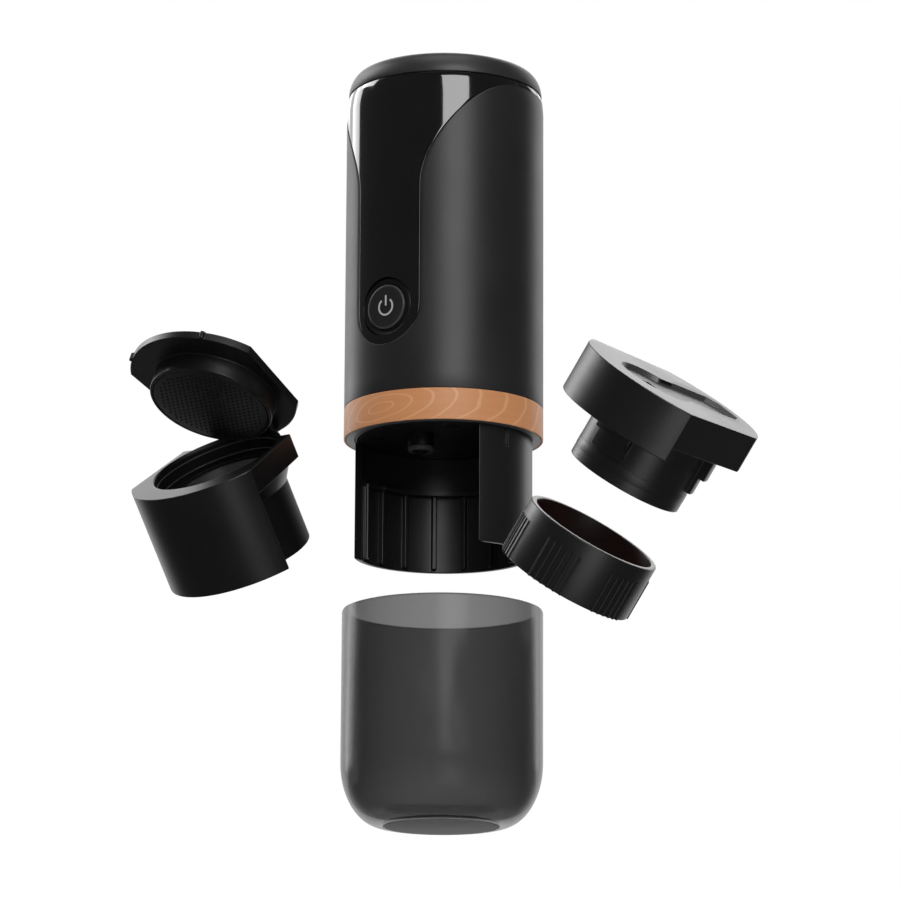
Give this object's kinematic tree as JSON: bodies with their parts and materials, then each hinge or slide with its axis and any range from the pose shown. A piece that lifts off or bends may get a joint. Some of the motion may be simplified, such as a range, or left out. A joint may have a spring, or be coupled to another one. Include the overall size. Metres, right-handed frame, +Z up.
{
  "type": "portable coffee machine",
  "caption": "Hand-size battery coffee machine shown taken apart: capped body with gloss front and wood band over its cup, a lidded brew holder, and a brew adapter with its ring.",
  "frame": {"origin": "Centre of the cup's flat base, which is the face that the set stands on.", "axes": "+Z is up along the shared axis of cup and machine, -Y is the front with the power button and the open bay, and +X is the side of the adapter and its ring."},
  "size_m": [0.2663, 0.1655, 0.2694],
  "materials": {
    "matte_shell": "matte black coated sleeve",
    "matte_cap": "matte black moulded",
    "gloss_black": "piano black",
    "wood": "light brown with growth rings",
    "satin_black": "satin black moulded",
    "smoke": "smoke-tinted clear",
    "tank_plastic": "clear grey moulded",
    "grey_metal": "die cast",
    "dark_metal": "dark coated sheet",
    "steel": "plain",
    "brass": "cut",
    "dark_rubber": "moulded silicone",
    "pale_rubber": "extruded silicone",
    "board": "laminate",
    "cell_wrap": "shrink-wrapped cell"
  },
  "bodies": {
    "machine": {"sleeve": "matte_shell", "inner_housing": "gloss_black", "wood_band": "wood", "base_deck": "grey_metal", "brew_skirt": "satin_black", "brew_head": "satin_black", "outlet_nozzle": "satin_black", "nozzle_gasket": "dark_rubber", "ceiling_screws": "steel", "water_tank": "tank_plastic", "upper_deck": "grey_metal", "deck_posts": "steel", "battery_cells": "cell_wrap", "cell_cradle": "satin_black", "control_board": "board", "button_switch": "satin_black", "button_bezel": "gloss_black", "charge_board": "board", "charge_socket": "steel", "pump_body": "grey_metal", "pump_cover": "grey_metal", "pump_motor": "steel", "inlet_tube": "pale_rubber", "outlet_tube": "pale_rubber"},
    "cap_body": {"cap": "matte_cap", "cap_gasket": "dark_rubber"},
    "button": {"power_button": "gloss_black"},
    "pump_drive": {"drive_gear": "brass"},
    "pump_idler": {"idler_gear": "brass"},
    "plug": {"port_plug": "dark_rubber"},
    "cup_body": {"cup": "smoke", "cup_pad": "dark_rubber"},
    "holder": {"holder_body": "satin_black", "filter_basket": "steel", "basket_gasket": "dark_rubber", "hinge_pin": "steel"},
    "lid": {"holder_lid": "satin_black", "shower_plate": "dark_metal", "lid_gasket": "dark_rubber"},
    "adapter": {"adapter_head": "satin_black", "adapter_screen": "steel", "adapter_seal": "dark_rubber"},
    "ring": {"adapter_ring": "satin_black"}
  },
  "joints": [
    {"name": "cap_lift", "type": "slide", "parent": "machine", "child": "cap_body", "axis": [0, 0, 1], "range_m": [0, 0.03]},
    {"name": "button_press", "type": "slide", "parent": "machine", "child": "button", "axis": [0, 1, 0], "range_m": [0, 0.0012], "stiffness_N_per_m": 800, "springref_m": -0.0004},
    {"name": "pump_spin", "type": "hinge", "parent": "machine", "child": "pump_drive", "pos_m": [-0.004, -0.0064, 0.1579], "axis": [0, 0, 1], "continuous": true},
    {"name": "idler_spin", "type": "hinge", "parent": "machine", "child": "pump_idler", "pos_m": [0.004, -0.0064, 0.1579], "axis": [0, 0, 1], "continuous": true},
    {"name": "plug_pull", "type": "slide", "parent": "machine", "child": "plug", "axis": [0, 1, 0], "range_m": [0, 0.006]},
    {"name": "cup_slide", "type": "slide", "parent": "machine", "child": "cup_body", "axis": [0, 0, 1], "range_m": [0, 0.06]},
    {"name": "holder_slide", "type": "slide", "parent": "machine", "child": "holder", "axis": [0, -1, 0], "range_m": [0, 0.06]},
    {"name": "lid_hinge", "type": "hinge", "parent": "holder", "child": "lid", "pos_m": [-0.0548, -0.03744, 0.13874], "axis": [1, 0, 0], "range_deg": [-17, 59]},
    {"name": "adapter_slide", "type": "slide", "parent": "machine", "child": "adapter", "axis": [1, 0, 0], "range_m": [0, 0.06]},
    {"name": "ring_slide", "type": "slide", "parent": "adapter", "child": "ring", "axis": [0.6032, 0, 0.7976], "range_m": [0, 0.026]}
  ],
  "couplings": [
    {"joint": "idler_spin", "follows": "pump_spin", "ratio": -1}
  ]
}
